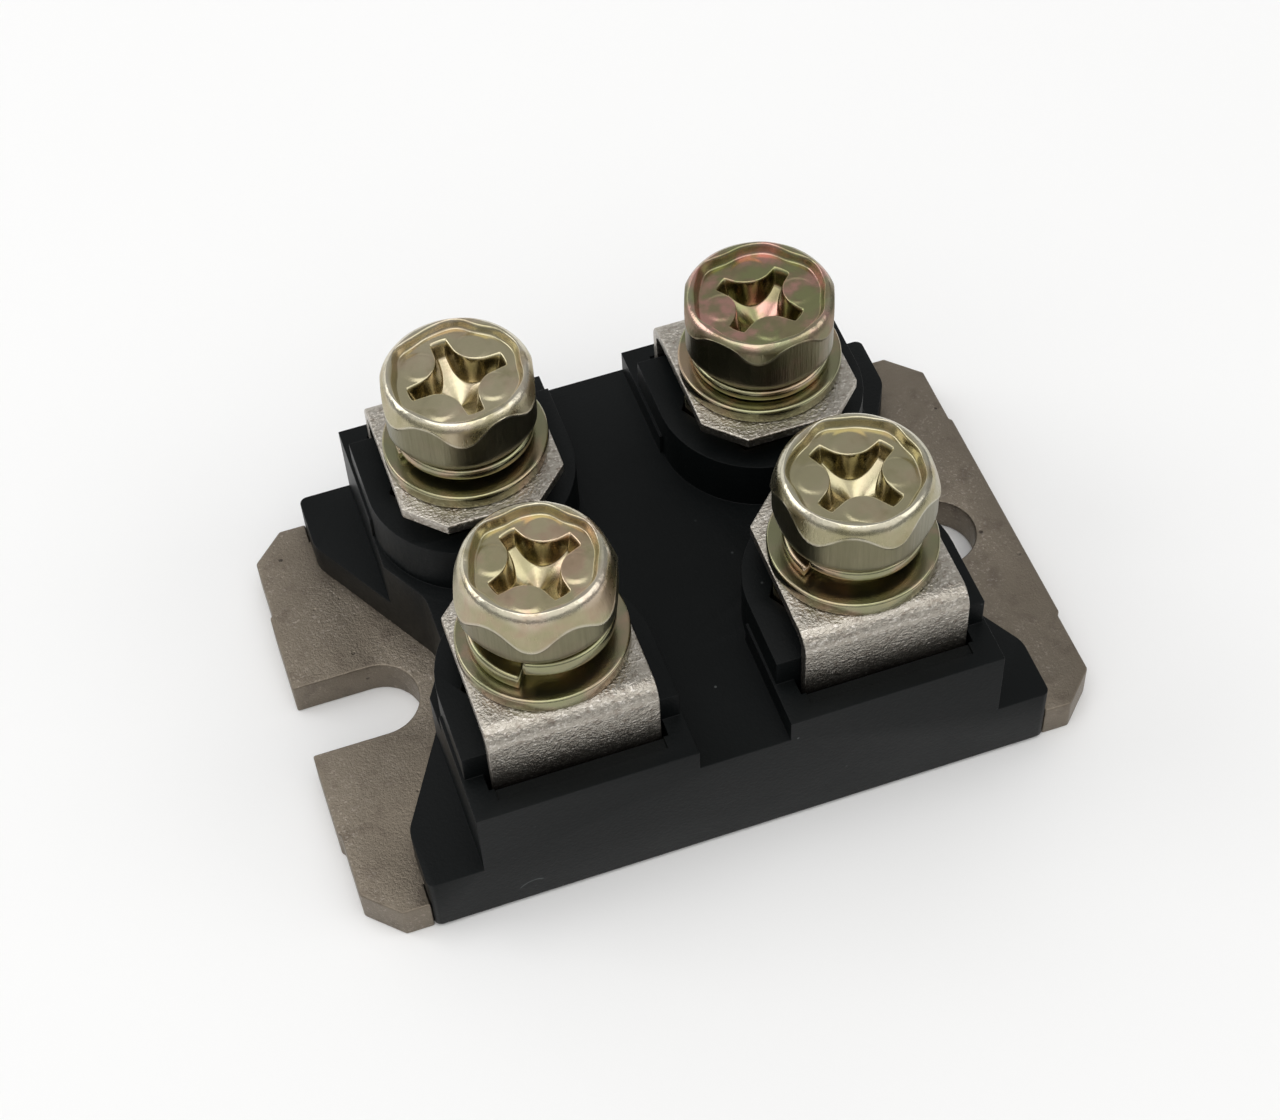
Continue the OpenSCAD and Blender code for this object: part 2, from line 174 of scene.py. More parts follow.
# Colours of the finishes
PLASTIC_DARK = (0.0016, 0.0024, 0.0025)
PLASTIC_LIGHT = (0.0045, 0.0056, 0.0058)
PLASTIC_MARK = (0.13, 0.14, 0.14)
NICKEL_DARK = (0.176, 0.147, 0.113)
NICKEL_LIGHT = (0.25, 0.215, 0.170)
NICKEL_STAIN = (0.15, 0.123, 0.097)
NICKEL_GLINT = (0.48, 0.43, 0.38)
NICKEL_PIT = (0.07, 0.058, 0.048)
TIN_DARK = (0.36, 0.33, 0.28)
TIN_LIGHT = (0.50, 0.465, 0.41)
TIN_SHADE = (0.24, 0.20, 0.165)
TIN_BRIGHT = (0.80, 0.76, 0.70)
ZINC_OLIVE = (0.36, 0.33, 0.17)
ZINC_PINK = (0.58, 0.33, 0.27)
ZINC_GREEN = (0.32, 0.36, 0.16)
# Painted shade on a head's flats and lower crown
ZINC_FLATS_SHADE = (0.155, 0.145, 0.088)
# Painted shade on the walls of the cross recess
ZINC_RECESS_SHADE = (0.13, 0.11, 0.055)
# Worn silver on crown and rim, partly a painted highlight
ZINC_WORN_AND_HIGHLIGHT = (0.74, 0.71, 0.63)
COPPER_DARK = (0.55, 0.29, 0.18)
COPPER_LIGHT = (0.70, 0.40, 0.26)
SILICON_DARK = (0.26, 0.27, 0.31)
SILICON_LIGHT = (0.36, 0.37, 0.41)
CERAMIC_DARK = (0.74, 0.74, 0.70)
CERAMIC_LIGHT = (0.84, 0.84, 0.81)
FLOOR_DARK = (0.90, 0.90, 0.90)
FLOOR_LIGHT = (0.93, 0.93, 0.93)

# Zinc of screws and washers: dark and light gold, shares of shimmer and of worn silver with painted
# highlight, shift of the pattern in metres
SCREW_ZINC = {
    "front_left": ((0.49, 0.42, 0.25), (0.63, 0.56, 0.38), 0.4, 0.5, 0.0),
    "front_right": ((0.44, 0.39, 0.24), (0.57, 0.52, 0.35), 0.15, 0.5, 0.011),
    "back_left": ((0.50, 0.44, 0.28), (0.66, 0.59, 0.42), 0.2, 0.5, 0.023),
    "back_right": ((0.25, 0.21, 0.12), (0.39, 0.33, 0.20), 1.0, 0.15, 0.037),
}
WASHER_ZINC = ((0.23, 0.22, 0.13), (0.38, 0.36, 0.24), 0.35, 0.0, 0.051)

# Light of the room, with the spans over which its parts set in along a direction's Y and Z
SKY_LEVEL = (0.25, 0.255, 0.26)
SKY_TOP = (0.46, 0.46, 0.46)
SKY_PANEL = (1.0, 0.99, 0.97)
SKY_WINDOW = (1.1, 1.1, 1.1)
SKY_RISE = (0.0, 0.95)
PANEL_BEHIND = (0.05, -0.3)
PANEL_ABOVE = (0.3, 0.5)
WINDOW_AHEAD = (0.5, 0.8)
WINDOW_LOWER = (0.02, 0.12)
WINDOW_UPPER = (0.5, 0.38)

# Lamps that face the module: place and size in metres, power in watts
MODULE_CENTRE = (0, 0, 0.008)
LAMPS = {
    "overhead_lamp": ((-0.10, -0.06, 0.70), 0.64, 1.75),
    "left_lamp": ((-0.55, 0.30, 0.45), 0.40, 1.1),
    "right_lamp": ((0.60, -0.30, 0.50), 0.50, 0.7),
}

# Half the floor's side in metres
FLOOR_HALF = 1.5

# Camera: place in metres, heading to the right of +Y, angle below level and roll in degrees, lens in mm
CAMERA_PLACE = (-0.02160, -0.07198, 0.10506)
CAMERA_HEADING = 15.98
CAMERA_DOWN = 52.62
CAMERA_ROLL = 3.62
CAMERA_LENS = 70.1
CAMERA_SENSOR = 36
CAMERA_CLIP_START = 0.005


def connect(tree, socket, value):
    """Links a field to a socket, or sets a plain value on it."""
    if isinstance(value, Field):
        tree.links.new(value.socket, socket)
    else:
        socket.default_value = value


class Field:
    """A number that varies over a surface: arithmetic on it adds Math nodes to its material."""

    def __init__(self, tree, socket):
        self.tree = tree
        self.socket = socket

    def math(self, operation, first, second):
        node = self.tree.nodes.new("ShaderNodeMath")
        node.operation = operation
        connect(self.tree, node.inputs[0], first)
        connect(self.tree, node.inputs[1], second)
        return Field(self.tree, node.outputs[0])

    def __add__(self, other):
        return self.math("ADD", self, other)

    def __radd__(self, other):
        return self.math("ADD", other, self)

    def __sub__(self, other):
        return self.math("SUBTRACT", self, other)

    def __rsub__(self, other):
        return self.math("SUBTRACT", other, self)

    def __mul__(self, other):
        return self.math("MULTIPLY", self, other)

    def __rmul__(self, other):
        return self.math("MULTIPLY", other, self)

    def __pow__(self, other):
        return self.math("POWER", self, other)

    def size(self):
        return self.math("ABSOLUTE", self, 0.0)

    def most(self, other):
        return self.math("MAXIMUM", self, other)


class Graph:
    """A node tree to which fields are added."""

    def __init__(self, tree):
        self.tree = tree

    def node(self, kind, settings=None, values=None, output=0):
        """Adds a node, sets its settings and then its sockets, and gives back one of its outputs."""
        node = self.tree.nodes.new(kind)
        for key, value in (settings or {}).items():
            setattr(node, key, value)
        for key, value in (values or {}).items():
            connect(self.tree, node.inputs[key], value)
        return Field(self.tree, node.outputs[output])

    def split(self, vector):
        """The three parts of a vector."""
        node = self.tree.nodes.new("ShaderNodeSeparateXYZ")
        connect(self.tree, node.inputs[0], vector)
        return [Field(self.tree, socket) for socket in node.outputs]

    def step(self, field, low, high):
        """Smooth step from 0 at low to 1 at high."""
        values = {"Value": field, "From Min": low, "From Max": high}
        return self.node("ShaderNodeMapRange", {"interpolation_type": "SMOOTHSTEP"}, values)

    def blend(self, factor, first, second):
        """Colour between two colours, through the Mix node's sockets for colours, which go by number."""
        first = first if isinstance(first, Field) else (*first, 1)
        second = second if isinstance(second, Field) else (*second, 1)
        return self.node("ShaderNodeMix", {"data_type": "RGBA"}, {0: factor, 6: first, 7: second}, output=2)


class Finish(Graph):
    """A surface finish: one Principled shader whose inputs are fields on Object coordinates."""

    def __init__(self, name, metallic, specular=0.5):
        self.material = bpy.data.materials.new(name)
        self.material.use_nodes = True
        super().__init__(self.material.node_tree)
        self.shader = self.tree.nodes["Principled BSDF"]
        self.shader.inputs["Metallic"].default_value = metallic
        self.shader.inputs["Specular IOR Level"].default_value = specular
        self.place = self.node("ShaderNodeTexCoord", output="Object")

    def moved(self, x, y, z):
        """Object coordinates moved along each axis, in metres."""
        return self.node("ShaderNodeMapping", values={"Vector": self.place, "Location": (x, y, z)})

    def stretched(self, x, y, z):
        """Object coordinates scaled by their own factor along each axis."""
        return self.node("ShaderNodeMapping", values={"Vector": self.place, "Scale": (x, y, z)})

    def noise(self, size_mm, detail=3.0, roughness=0.55, place=None):
        """Noise whose cells are about the given size, from 0 to 1."""
        values = {
            "Vector": place or self.place,
            "Scale": 1 / (size_mm * MM),
            "Detail": detail,
            "Roughness": roughness,
        }
        return self.node("ShaderNodeTexNoise", values=values, output="Fac")

    def cells(self, size_mm):
        """Distance to the nearest of many scattered points, in units of their spacing."""
        values = {"Vector": self.place, "Scale": 1 / (size_mm * MM)}
        return self.node("ShaderNodeTexVoronoi", values=values, output="Distance")

    def mark(self, name):
        """Share from 0 to 1 that the mesh carries at its points."""
        return self.node("ShaderNodeAttribute", {"attribute_name": name}, output="Fac")

    def front_arc(self):
        """Scratch on the front face: the thin upper arc of a flattened circle, broken up by noise."""
        x, y, z = self.split(self.place)
        across = (x * (1 / MM) - SCRATCH_PLACE[0]) * SCRATCH_FLATTENED
        up = z * (1 / MM) - SCRATCH_PLACE[1] - across * SCRATCH_LEAN
        off = ((across * across + up * up) ** 0.5 - SCRATCH_RADIUS).size()
        line = (1 - self.step(off, *SCRATCH_LINE)) * self.step(up, *SCRATCH_FADE)
        return line * self.step(y * (1 / MM), *FRONT_FACE) * self.noise(SCRATCH_BREAKS)

    def wear(self, colour, roughness, height=None, height_mm=0.01):
        """Feeds the shader, with an optional height field as bump."""
        connect(self.tree, self.shader.inputs["Base Color"], colour)
        connect(self.tree, self.shader.inputs["Roughness"], roughness)
        if height is not None:
            values = {"Strength": 1.0, "Distance": height_mm * MM, "Height": height}
            connect(self.tree, self.shader.inputs["Normal"], self.node("ShaderNodeBump", values=values))
        return self.material


def black_moulding():
    """Satin black plastic: fine moulded grain, cloudy sheen, a few pale specks and a short curved scratch."""
    paint = Finish("black_moulding", metallic=0.0, specular=0.13)
    cloud = paint.noise(5.0, 4)
    grain = paint.noise(0.16, 2)
    speck = 1 - paint.step(paint.cells(1.5), 0.03, 0.055)
    mark = (speck * paint.step(cloud, 0.46, 0.62) * 0.5).most(paint.front_arc())
    base = paint.blend(cloud, PLASTIC_DARK, PLASTIC_LIGHT)
    colour = paint.blend(mark, base, PLASTIC_MARK)
    rough = 0.34 + cloud * 0.16 + grain * 0.06 + mark * 0.2
    return paint.wear(colour, rough, grain + cloud * 1.5 + mark, 0.012)


def nickel_plate():
    """Dull nickel plating: warm grey, cloudy, sandy, with painted glints of fine bright grains in places and
    a few pits.
    """
    paint = Finish("nickel_plate", metallic=1.0)
    cloud = paint.noise(5.0, 5, 0.6)
    stain = paint.noise(1.1, 4)
    grain = paint.noise(0.13, 3, 0.7)
    pit = 1 - paint.step(paint.cells(1.4), 0.05, 0.1)
    glint = paint.step(paint.noise(0.15, 2, 0.6), 0.54, 0.7) * paint.step(cloud, 0.42, 0.6)
    base = paint.blend(cloud, NICKEL_DARK, NICKEL_LIGHT)
    toned = paint.blend(paint.step(stain, 0.5, 0.72) * 0.7, base, NICKEL_STAIN)
    # Painted glints: bright grains that stand for the sparkle of light
    marked = paint.blend(glint * 0.4, toned, NICKEL_GLINT)
    dotted = paint.blend(pit * paint.step(stain, 0.46, 0.56), marked, NICKEL_PIT)
    rough = 0.34 + cloud * 0.12 - glint * 0.08 + grain * 0.1
    return paint.wear(dotted, rough, grain * 1.1 + stain * 0.6 - pit * 0.8, 0.035)


def tinned_sheet():
    """Tinned copper sheet: warm silver with a sandy grain, cloudy, with short combed streaks."""
    paint = Finish("tinned_sheet", metallic=1.0)
    sand = paint.noise(0.14, 2, 0.6)
    coarse = paint.noise(0.28, 3, 0.65)
    combed = paint.noise(0.13, 2, place=paint.stretched(0.4, 1, 1))
    cloud = paint.noise(2.5, 4)
    base = paint.blend(cloud, TIN_DARK, TIN_LIGHT)
    toned = paint.blend(paint.step(coarse, 0.48, 0.66) * 0.75, base, TIN_SHADE)
    colour = paint.blend(paint.step(sand * 0.5 + combed * 0.5, 0.5, 0.66) * 0.8, toned, TIN_BRIGHT)
    rough = 0.22 + cloud * 0.08 + sand * 0.12
    return paint.wear(colour, rough, sand * 0.9 + combed * 0.7 + coarse * 0.9, 0.035)


def yellow_zinc(name, dark, light, shimmer, wear_and_highlight, shift):
    """Yellow passivated zinc: gold with drifts of olive and, as far as shimmer says, of pink and green. The
    sides of a head, where it was trimmed to its flats, and the lower crown are drawn into upright lines and
    darkened with painted shade. Its crown and rim turn towards silver, part wear and part painted highlight,
    as far as the share given for it says, and the walls of its recess are darkened with painted shade."""
    paint = Finish(name, metallic=1.0)
    place = paint.moved(shift, -shift, shift * 0.5)
    trimmed, worn_and_highlit, recess_shade = (paint.mark(mark) for mark in MARKS)
    drift = paint.noise(2.4, 3, place=place)
    film = paint.noise(1.5, 3, place=place)
    grain = paint.noise(0.12, 2)
    drawn = paint.noise(0.16, 3, 0.7, place=paint.stretched(1, 1, 0.05)) * trimmed
    gold = paint.blend(drift, dark, light)
    olive = paint.blend(paint.step(film, 0.48, 0.72) * 0.6, gold, ZINC_OLIVE)
    flush = paint.step(film, 0.36, 0.56) * paint.step(drift, 0.44, 0.6) * shimmer
    pink = paint.blend(flush, olive, ZINC_PINK)
    patch = paint.step(drift, 0.58, 0.44) * paint.step(film, 0.58, 0.42) * shimmer
    green = paint.blend(patch * 0.6, pink, ZINC_GREEN)
    # Painted shade darkens the trimmed flats and the drawn lower crown
    flats_shaded = paint.blend(trimmed * trimmed * 0.75 + drawn * 0.25, green, ZINC_FLATS_SHADE)
    # Painted shade darkens the walls of the recess
    recess_shaded = paint.blend(recess_shade * 0.8, flats_shaded, ZINC_RECESS_SHADE)
    # Worn silver on crown and rim, partly painted highlight
    bright = paint.blend(worn_and_highlit * wear_and_highlight * paint.step(film, 0.75, 0.45), recess_shaded, ZINC_WORN_AND_HIGHLIGHT)
    rough = 0.16 + drift * 0.08 + grain * 0.05 + drawn * 0.2
    dents = paint.noise(0.55, 2, place=place) * worn_and_highlit
    return paint.wear(bright, rough, grain * 0.3 + drawn * 1.6 + film * 0.8 + dents * 3, 0.012)


def bare_metal(name, dark, light, roughness):
    """Plain metal of the inner pieces, with a cloudy tone and fine grain."""
    paint = Finish(name, metallic=1.0)
    cloud = paint.noise(1.5, 4)
    grain = paint.noise(0.1, 2)
    return paint.wear(paint.blend(cloud, dark, light), roughness + grain * 0.1, grain, 0.01)


def white_ceramic():
    """Fired white ceramic with a faint cloud and a fine sintered grain."""
    paint = Finish("white_ceramic", metallic=0.0)
    cloud = paint.noise(3.0, 4)
    grain = paint.noise(0.08, 2)
    colour = paint.blend(cloud, CERAMIC_DARK, CERAMIC_LIGHT)
    return paint.wear(colour, 0.45 + grain * 0.15, grain, 0.008)


def pale_floor():
    """Pale floor with a faint even mottle."""
    paint = Finish("pale_floor", metallic=0.0)
    cloud = paint.noise(60, 2)
    return paint.wear(paint.blend(cloud, FLOOR_DARK, FLOOR_LIGHT), 0.8 + cloud * 0.1)


def placed(name, data):
    """New object of a mesh, lamp or camera, put into the scene."""
    thing = bpy.data.objects.new(name, data)
    bpy.context.scene.collection.objects.link(thing)
    return thing


def surface(name, points, wrap_rows=False, wrap_columns=False, marks=None):
    """Closed mesh from a grid of points in millimetres: a quad between each four neighbours, joined round
    where a direction wraps, with points that fall together merged. Marks are named shares from 0 to 1 at the
    points."""
    rows, columns = points.shape[:2]
    index = np.arange(rows * columns).reshape(rows, columns)
    if wrap_rows:
        index = np.vstack([index, index[:1]])
    if wrap_columns:
        index = np.hstack([index, index[:, :1]])
    corners = [index[:-1, :-1], index[1:, :-1], index[1:, 1:], index[:-1, 1:]]
    quads = np.stack(corners, axis=-1).reshape(-1, 4)
    mesh = bpy.data.meshes.new(name)
    mesh.from_pydata((points.reshape(-1, 3) * MM).tolist(), [], quads.tolist())
    for mark, share in (marks or {}).items():
        mesh.attributes.new(mark, "FLOAT", "POINT").data.foreach_set("value", share.ravel())
    work = bmesh.new()
    work.from_mesh(mesh)
    bmesh.ops.remove_doubles(work, verts=work.verts, dist=SAME_POINT)
    bmesh.ops.dissolve_degenerate(work, edges=work.edges, dist=NO_LENGTH)
    bmesh.ops.recalc_face_normals(work, faces=work.faces)
    work.to_mesh(mesh)
    work.free()
    mesh.shade_smooth()
    return placed(name, mesh)


def softened(name, node, width_mm):
    """Copy of a node's solid with its sharp edges rounded over."""
    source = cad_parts[node]
    work = bmesh.new()
    work.from_mesh(source.data)
    work.transform(source.matrix_world)
    bmesh.ops.remove_doubles(work, verts=work.verts, dist=SAME_CORNER)
    bmesh.ops.dissolve_limit(work, angle_limit=math.radians(FLAT_ANGLE), verts=work.verts, edges=work.edges)
    mesh = bpy.data.meshes.new(name)
    work.to_mesh(mesh)
    work.free()
    mesh.shade_smooth()
    piece = placed(name, mesh)
    bevel = piece.modifiers.new("rounded_edges", "BEVEL")
    bevel.width = width_mm * MM
    bevel.segments = EDGE_SEGMENTS
    bevel.limit_method = "ANGLE"
    bevel.angle_limit = math.radians(EDGE_ANGLE)
    bevel.harden_normals = True
    bevel.use_clamp_overlap = True
    return piece


def coat(mesh, material):
    """Makes a finish the only one on a mesh."""
    mesh.materials.clear()
    mesh.materials.append(material)


def dress(piece, node, material):
    """Gives a piece its finish and lets it stand for its node."""
    coat(piece.data, material)
    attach(piece, "root")
    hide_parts(node)


def smooth_step(value, low, high):
    """Cubic step from 0 at low to 1 at high."""
    share = np.clip((value - low) / (high - low), 0, 1)
    return share * share * (3 - 2 * share)


def hexagon_radius(angle, flats, turn, power):
    """Radius of a hexagon with rounded corners: the inverse p-norm of its six flat directions."""
    normals = np.radians(turn + 30 + 60 * np.arange(6))
    facing = np.maximum(np.cos(angle[..., None] - normals), 0)
    return flats / 2 * (facing**power).sum(axis=-1) ** (-1 / power)


def soft_least(first, second, power=40):
    """The lesser of two lengths, with a smooth passage where they are alike."""
    return (first**-power + second**-power) ** (-1 / power)


def around(columns):
    """Angles of one full turn, as a row."""
    return np.linspace(0, 2 * np.pi, columns, endpoint=False)[None, :]


def ring(radius, angle, height):
    """Points at the given radius and angle about the Z axis."""
    radius, angle, height = np.broadcast_arrays(radius, angle, height)
    return np.stack([radius * np.cos(angle), radius * np.sin(angle), height], axis=-1)


def thread_wave(height, angle):
    """Triangle wave from 0 to 1 along a helix of the thread's pitch."""
    return np.abs(((height / THREAD_PITCH - angle / (2 * np.pi)) % 1) * 2 - 1)


def cross_recess(radius, angle, turn, reach):
    """Depth of the cross recess, height of the four petals round it and mark of its walls, where painted
    shade darkens them. Each quarter between the arms is a lobe with a round inner corner. The recess lies
    outside the lobes and inside a circle, narrows a little outwards, has leaning walls and is deepest in the
    middle. Each lobe bears a low round petal."""
    x = np.abs(radius * np.cos(angle - math.radians(turn)))
    y = np.abs(radius * np.sin(angle - math.radians(turn)))
    half_width = CROSS_HALF_WIDTH - CROSS_TAPER * radius
    inside_x = np.maximum(LOBE_ROUND - x + half_width, 0)
    inside_y = np.maximum(LOBE_ROUND - y + half_width, 0)
    from_lobe = np.hypot(inside_x, inside_y) - LOBE_ROUND
    floor = CROSS_DEPTH * (1 - CROSS_RISE * radius / reach)
    fall = smooth_step(np.minimum(from_lobe, CROSS_END_LEAN * (reach - radius)), *CROSS_WALL)
    middle = PETAL_PLACE / math.sqrt(2)
    from_petal = np.hypot(x - middle, y - middle)
    petal = PETAL_HEIGHT * smooth_step(from_petal, PETAL_OUTER, PETAL_INNER)
    # Mark of the walls, which carries their painted shade
    side = smooth_step(from_lobe, *CROSS_WALL)
    walls = 4 * side * (1 - side) * smooth_step(radius, reach, reach - CROSS_END)
    return fall * floor, petal, walls


def head_phase(corner):
    """Angle that sets one head's waves apart from another's."""
    return math.radians(PHASE_PER_TURN * HEAD_TURNS[corner])


def rim_sag(corner, angle):
    """How far a head's rim lies below its full height: a sum of a few waves, as on a forged rim."""
    phase = head_phase(corner)
    waves = sum(size * np.sin(count * angle + count * phase) for count, size in RIM_WAVES)
    reach = sum(size for count, size in RIM_WAVES)
    return RIM_SAG * (reach + waves) / (2 * reach)


def crown_drop(radius, rim_radius):
    """How far a head's crown lies below its rim: an arc, already turned down at the rim, then a cone."""
    start = rim_radius - CROWN_REACH
    lean = math.atan(CROWN_SLOPE)
    arc_end = CROWN_ROUND * math.sin(lean)
    out = radius - start
    arc = CROWN_ROUND - np.sqrt(CROWN_ROUND**2 - np.minimum(out, arc_end) ** 2)
    at_rim = CROWN_ROUND - math.sqrt(CROWN_ROUND**2 - CROWN_REACH**2)
    return arc + CROWN_SLOPE * np.maximum(out - arc_end, 0) - at_rim


def head_top(corner, angle):
    """Rings of a head's top, from the axis out to the rim, with their marks: the full height less the dish,
    the cross recess and the rim's sag, plus the petals. The dish is a little deeper on one side, and its edge
    is a hexagon with wide round corners that wanders by three waves."""
    rim_radius = RIM_RADIUS[corner]
    phase = head_phase(corner)
    radius = rim_radius * (1 - (1 - np.linspace(0, 1, TOP_RINGS)[:, None]) ** TOP_RING_POWER)
    wander = DISH_WANDER * sum(np.sin(count * angle + share * phase) for count, share in DISH_WAVES)
    outline = hexagon_radius(angle, 2 * (rim_radius - DISH_INSET), HEAD_TURNS[corner], DISH_CORNER_POWER)
    dish_edge = outline + wander - 2 * DISH_WANDER
    depth = DISH_DEPTH * (1 + DISH_TILT * np.sin(angle - phase) * smooth_step(radius, 0, rim_radius))
    dish = depth * smooth_step(radius, dish_edge + DISH_WALL_OUT, dish_edge - DISH_WALL_IN)
    recess, petal, walls = cross_recess(radius, angle, CROSS_TURNS[corner], CROSS_REACH[corner])
    sag = rim_sag(corner, angle) * smooth_step(radius, rim_radius - RIM_SAG_REACH, rim_radius)
    # Worn silver round the rim, partly painted highlight
    edge = smooth_step(radius, rim_radius - RIM_WEAR_HIGHLIGHT, rim_radius)
    top = HEAD_HEIGHT - dish + petal - recess - sag
    return [(ring(radius, angle, top), {"worn_and_highlit": edge, "recess_shade": walls})]


def head_sides(corner, angle):
    """Rings of a head from its rim to its thread, with their marks: the crown, an arc that runs into a steep
    cone, the hexagon's trimmed sides, which draw in at the foot, and the flat underside."""
    rim_radius = RIM_RADIUS[corner]
    outline = hexagon_radius(angle, HEAD_FLATS, HEAD_TURNS[corner], HEAD_CORNER_POWER)
    hexagon = soft_least(outline, HEAD_ROUND_RADIUS)

    share = np.linspace(0, 1, CROWN_RINGS)[1:, None]
    crown_radius = rim_radius + (hexagon - rim_radius) * share
    crown = HEAD_HEIGHT - crown_drop(crown_radius, rim_radius) - rim_sag(corner, angle) * (1 - share)
    # Lines and painted shade on the lower crown; worn silver with painted highlight under the rim and at the
    # edge
    drawn = CROWN_LINES_AND_SHADE[corner] * smooth_step(share, *CROWN_LINES_SPAN)
    lower_edge_highlight = CROWN_EDGE_HIGHLIGHT * smooth_step(share, *CROWN_EDGE_HIGHLIGHT_SPAN)
    worn_and_highlit = np.maximum(1 - smooth_step(share, *CROWN_WEAR_HIGHLIGHT_SPAN), lower_edge_highlight)

    lower = np.linspace(0, 1, SIDE_RINGS)[1:, None]
    side_height = crown[-1:] * (1 - lower)
    foot_share = np.maximum(1 - side_height / HEAD_FOOT, 0)
    foot = HEAD_ROUND_RADIUS - HEAD_FOOT_INSET * foot_share**HEAD_FOOT_POWER
    side_radius = soft_least(hexagon, foot)

    inwards = np.linspace(0, 1, UNDER_RINGS)[1:, None]
    under_radius = side_radius[-1:] + (THREAD_RADIUS - side_radius[-1:]) * inwards
    # The trimmed sides take the full painted shade
    return [
        (ring(crown_radius, angle, crown), {"trimmed": drawn, "worn_and_highlit": worn_and_highlit}),
        (ring(side_radius, angle, side_height), {"trimmed": 1.0}),
        (ring(under_radius, angle, 0.0), {}),
    ]


def shank(length, angle):
    """Rings of a screw's thread: its radius falls off by a triangle wave along a helix and draws in at the
    tip."""
    rings = int(length / THREAD_PITCH * THREAD_RINGS_PER_TURN)
    height = np.linspace(0, -length, rings)[1:, None]
    start = smooth_step(-height, *THREAD_START)
    tip = smooth_step(height, -length, -length + THREAD_TIP)
    groove = THREAD_DEPTH * thread_wave(height, angle) * start
    radius = THREAD_RADIUS - groove - THREAD_TIP_INSET * (1 - tip)
    return [(ring(radius, angle, height), {}), (ring(0.0, angle, np.array([[-length]])), {})]


def screw_points(corner, length):
    """Screw about the Z axis with its head's underside at zero, and its marks. Down the grid run the rings of
    the head's top, of its crown, sides and underside, and of the thread, which closes in a point on the
    axis."""
    angle = around(SCREW_COLUMNS)
    bands = head_top(corner, angle) + head_sides(corner, angle) + shank(length, angle)
    points = np.concatenate([band for band, shares in bands])
    marks = {}
    for mark in MARKS:
        parts = [np.broadcast_to(shares.get(mark, 0.0), band.shape[:2]) for band, shares in bands]
        marks[mark] = np.concatenate(parts)
    return points, marks


def nut_points(thickness):
    """Nut about the Z axis standing on zero: a loop that runs up the threaded bore, out over the top, down
    the hexagon between its two trimmed edges and back under, carried round the axis."""
    angle = around(NUT_COLUMNS)
    hexagon = hexagon_radius(angle, NUT_FLATS, 0, NUT_CORNER_POWER)
    height = np.linspace(NUT_MOUTH_DEPTH, thickness - NUT_MOUTH_DEPTH, NUT_BORE_RINGS)[:, None]
    bore = NUT_THREAD_RADIUS + NUT_THREAD_DEPTH * thread_wave(height, angle)
    inner = NUT_FLATS / 2 - NUT_TRIM_INSET
    share = np.linspace(0, 1, NUT_TRIM_RINGS)[:, None]
    trim_radius = inner + (hexagon - inner) * share
    trim = NUT_TRIM_SLOPE * np.maximum(trim_radius - inner, 0) ** NUT_TRIM_POWER
    return np.concatenate([
        ring(bore, angle, height),
        ring(NUT_MOUTH_RADIUS, angle, np.array([[thickness]])),
        ring(trim_radius, angle, thickness - trim),
        ring(trim_radius[::-1], angle, trim[::-1]),
        ring(NUT_MOUTH_RADIUS, angle, np.array([[0.0]])),
    ])


def rounded_section(width, height, corner):
    """Outline of a rectangle with round corners, as distances out and up from its inner lower corner."""
    quarter = np.linspace(0, np.pi / 2, SECTION_CORNER_POINTS)
    far = width - corner
    upper = height - corner
    centres = ((far, corner, -90), (far, upper, 0), (corner, upper, 90), (corner, corner, 180))
    out = [centre + corner * np.cos(quarter + math.radians(start)) for centre, level, start in centres]
    up = [level + corner * np.sin(quarter + math.radians(start)) for centre, level, start in centres]
    return np.concatenate(out)[:, None], np.concatenate(up)[:, None]


def flat_washer_points(thickness):
    """Flat washer standing on zero: a rectangle with round corners carried round the axis."""
    out, up = rounded_section(FLAT_WASHER_RADIUS - WASHER_BORE_RADIUS, thickness, FLAT_WASHER_CORNER)
    return ring(WASHER_BORE_RADIUS + out, around(WASHER_COLUMNS), up)


def spring_washer_points(corner):
    """Split ring standing on zero: a rectangle with round corners carried round the axis, sinking from the
    upper side of the split to its lower side. The first and last sections are drawn in to a point, which
    closes the ends."""
    thickness = SPRING_THICKNESS[corner]
    width = SPRING_RADIUS[corner] - WASHER_BORE_RADIUS
    out, up = rounded_section(width, thickness, SPRING_CORNER)
    share = np.linspace(0, 1, SPRING_SECTIONS)
    share = np.concatenate([share[:1], share, share[-1:]])[None, :]
    angle = np.radians(SPLIT_TURNS[corner] + SPLIT_ANGLE / 2 + (360 - SPLIT_ANGLE) * share)
    rise = (SPRING_HEIGHT[corner] - thickness) * (1 - share)
    shrink = np.ones_like(share)
    shrink[0, [0, -1]] = 0
    radius = WASHER_BORE_RADIUS + width / 2 + (out - width / 2) * shrink
    level = thickness / 2 + (up - thickness / 2) * shrink
    return ring(radius, angle, level + rise)


def box_mm(node):
    """A node's lowest and highest corners in millimetres."""
    low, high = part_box(node)
    return np.array(low) / MM, np.array(high) / MM


def soft_lamp(name, place, size, power):
    """Square area lamp at a place, facing the module, in metres and watts."""
    lamp = bpy.data.lights.new(name, "AREA")
    lamp.size = size
    lamp.energy = power
    lamp_object = placed(name, lamp)
    lamp_object.location = place
    lamp_object.rotation_mode = "QUATERNION"
    lamp_object.rotation_quaternion = (Vector(MODULE_CENTRE) - Vector(place)).to_track_quat("-Z", "Y")


